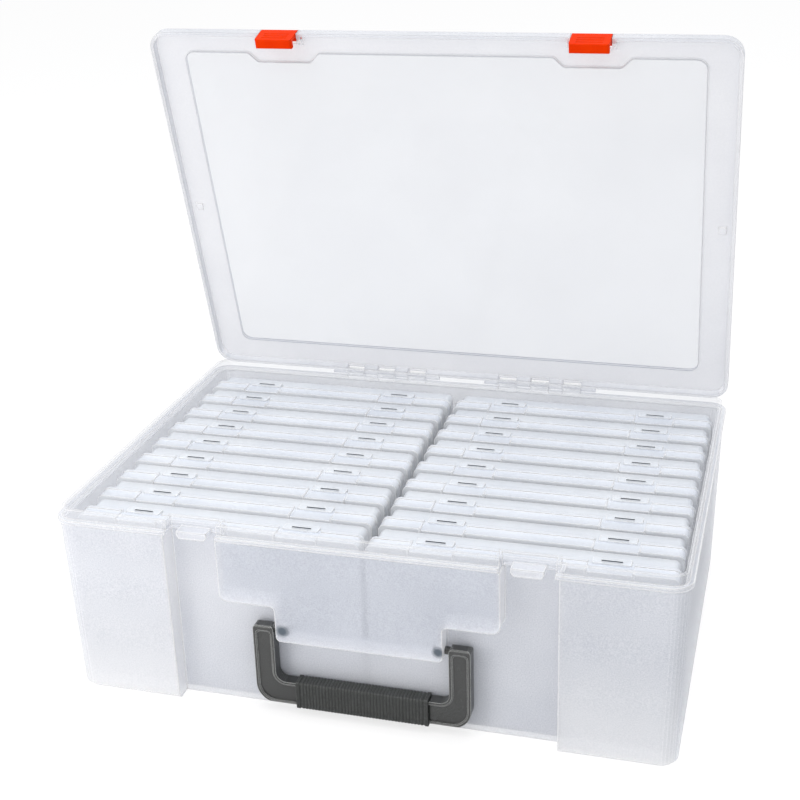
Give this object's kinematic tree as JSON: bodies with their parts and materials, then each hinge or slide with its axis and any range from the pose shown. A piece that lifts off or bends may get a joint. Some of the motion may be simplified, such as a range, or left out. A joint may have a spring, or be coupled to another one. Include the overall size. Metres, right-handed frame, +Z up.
{
  "type": "photo storage case",
  "caption": "Translucent carrying case with a hinged clear-panel lid, snap latches and a front handle, filled with slim lift-out photo keepers that stand on edge.",
  "frame": {"origin": "middle of the flat underside of the case", "axes": "+X to the right, +Y to the back where the lid is hinged, +Z up; the handle is on the -Y side"},
  "size_m": [0.38, 0.2727, 0.3791],
  "materials": {
    "case": "frosted translucent polypropylene, faintly blue",
    "lid": "clear polished panel in a frosted border",
    "latch": "satin orange-red moulding",
    "handle": "satin charcoal moulding",
    "grip": "matt ribbed soft grip",
    "keeper_cover": "semi-clear moulding, faintly blue",
    "keeper_tray": "semi-clear moulding, faintly blue"
  },
  "bodies": {
    "case": {"case_body": "case"},
    "lid": {"lid": "lid"},
    "latch_left": {"latch_left": "latch"},
    "latch_right": {"latch_right": "latch"},
    "handle": {"handle": "handle", "handle_grip": "grip"},
    "keeper_left_1": {"keeper_cover_left_1": "keeper_cover", "keeper_tray_left_1": "keeper_tray"},
    "keeper_left_2": {"keeper_cover_left_2": "keeper_cover", "keeper_tray_left_2": "keeper_tray"},
    "keeper_left_3": {"keeper_cover_left_3": "keeper_cover", "keeper_tray_left_3": "keeper_tray"},
    "keeper_left_4": {"keeper_cover_left_4": "keeper_cover", "keeper_tray_left_4": "keeper_tray"},
    "keeper_left_5": {"keeper_cover_left_5": "keeper_cover", "keeper_tray_left_5": "keeper_tray"},
    "keeper_left_6": {"keeper_cover_left_6": "keeper_cover", "keeper_tray_left_6": "keeper_tray"},
    "keeper_left_7": {"keeper_cover_left_7": "keeper_cover", "keeper_tray_left_7": "keeper_tray"},
    "keeper_left_8": {"keeper_cover_left_8": "keeper_cover", "keeper_tray_left_8": "keeper_tray"},
    "keeper_left_9": {"keeper_cover_left_9": "keeper_cover", "keeper_tray_left_9": "keeper_tray"},
    "keeper_right_1": {"keeper_cover_right_1": "keeper_cover", "keeper_tray_right_1": "keeper_tray"},
    "keeper_right_2": {"keeper_cover_right_2": "keeper_cover", "keeper_tray_right_2": "keeper_tray"},
    "keeper_right_3": {"keeper_cover_right_3": "keeper_cover", "keeper_tray_right_3": "keeper_tray"},
    "keeper_right_4": {"keeper_cover_right_4": "keeper_cover", "keeper_tray_right_4": "keeper_tray"},
    "keeper_right_5": {"keeper_cover_right_5": "keeper_cover", "keeper_tray_right_5": "keeper_tray"},
    "keeper_right_6": {"keeper_cover_right_6": "keeper_cover", "keeper_tray_right_6": "keeper_tray"},
    "keeper_right_7": {"keeper_cover_right_7": "keeper_cover", "keeper_tray_right_7": "keeper_tray"},
    "keeper_right_8": {"keeper_cover_right_8": "keeper_cover", "keeper_tray_right_8": "keeper_tray"},
    "keeper_right_9": {"keeper_cover_right_9": "keeper_cover", "keeper_tray_right_9": "keeper_tray"}
  },
  "joints": [
    {"name": "lid_hinge", "type": "hinge", "parent": "case", "child": "lid", "pos_m": [0, 0.1345, 0.1207], "axis": [-1, 0, 0], "range_deg": [-74, 36]},
    {"name": "latch_left_pivot", "type": "hinge", "parent": "lid", "child": "latch_left", "pos_m": [-0.1, 0.06286, 0.3749], "axis": [-1, 0, 0], "range_deg": [0, 100]},
    {"name": "latch_right_pivot", "type": "hinge", "parent": "lid", "child": "latch_right", "pos_m": [0.1, 0.06286, 0.3749], "axis": [-1, 0, 0], "range_deg": [0, 100]},
    {"name": "handle_pivot", "type": "hinge", "parent": "case", "child": "handle", "pos_m": [0, -0.1235, 0.0562], "axis": [-1, 0, 0], "range_deg": [0, 128]},
    {"name": "keeper_left_1_lift", "type": "slide", "parent": "case", "child": "keeper_left_1", "axis": [0, 0, 1], "range_m": [0, 0.125]},
    {"name": "keeper_left_2_lift", "type": "slide", "parent": "case", "child": "keeper_left_2", "axis": [0, 0, 1], "range_m": [0, 0.125]},
    {"name": "keeper_left_3_lift", "type": "slide", "parent": "case", "child": "keeper_left_3", "axis": [0, 0, 1], "range_m": [0, 0.125]},
    {"name": "keeper_left_4_lift", "type": "slide", "parent": "case", "child": "keeper_left_4", "axis": [0, 0, 1], "range_m": [0, 0.125]},
    {"name": "keeper_left_5_lift", "type": "slide", "parent": "case", "child": "keeper_left_5", "axis": [0, 0, 1], "range_m": [0, 0.125]},
    {"name": "keeper_left_6_lift", "type": "slide", "parent": "case", "child": "keeper_left_6", "axis": [0, 0, 1], "range_m": [0, 0.125]},
    {"name": "keeper_left_7_lift", "type": "slide", "parent": "case", "child": "keeper_left_7", "axis": [0, 0, 1], "range_m": [0, 0.125]},
    {"name": "keeper_left_8_lift", "type": "slide", "parent": "case", "child": "keeper_left_8", "axis": [0, 0, 1], "range_m": [0, 0.125]},
    {"name": "keeper_left_9_lift", "type": "slide", "parent": "case", "child": "keeper_left_9", "axis": [0, 0, 1], "range_m": [0, 0.05]},
    {"name": "keeper_right_1_lift", "type": "slide", "parent": "case", "child": "keeper_right_1", "axis": [0, 0, 1], "range_m": [0, 0.125]},
    {"name": "keeper_right_2_lift", "type": "slide", "parent": "case", "child": "keeper_right_2", "axis": [0, 0, 1], "range_m": [0, 0.125]},
    {"name": "keeper_right_3_lift", "type": "slide", "parent": "case", "child": "keeper_right_3", "axis": [0, 0, 1], "range_m": [0, 0.125]},
    {"name": "keeper_right_4_lift", "type": "slide", "parent": "case", "child": "keeper_right_4", "axis": [0, 0, 1], "range_m": [0, 0.125]},
    {"name": "keeper_right_5_lift", "type": "slide", "parent": "case", "child": "keeper_right_5", "axis": [0, 0, 1], "range_m": [0, 0.125]},
    {"name": "keeper_right_6_lift", "type": "slide", "parent": "case", "child": "keeper_right_6", "axis": [0, 0, 1], "range_m": [0, 0.125]},
    {"name": "keeper_right_7_lift", "type": "slide", "parent": "case", "child": "keeper_right_7", "axis": [0, 0, 1], "range_m": [0, 0.125]},
    {"name": "keeper_right_8_lift", "type": "slide", "parent": "case", "child": "keeper_right_8", "axis": [0, 0, 1], "range_m": [0, 0.125]},
    {"name": "keeper_right_9_lift", "type": "slide", "parent": "case", "child": "keeper_right_9", "axis": [0, 0, 1], "range_m": [0, 0.05]}
  ]
}
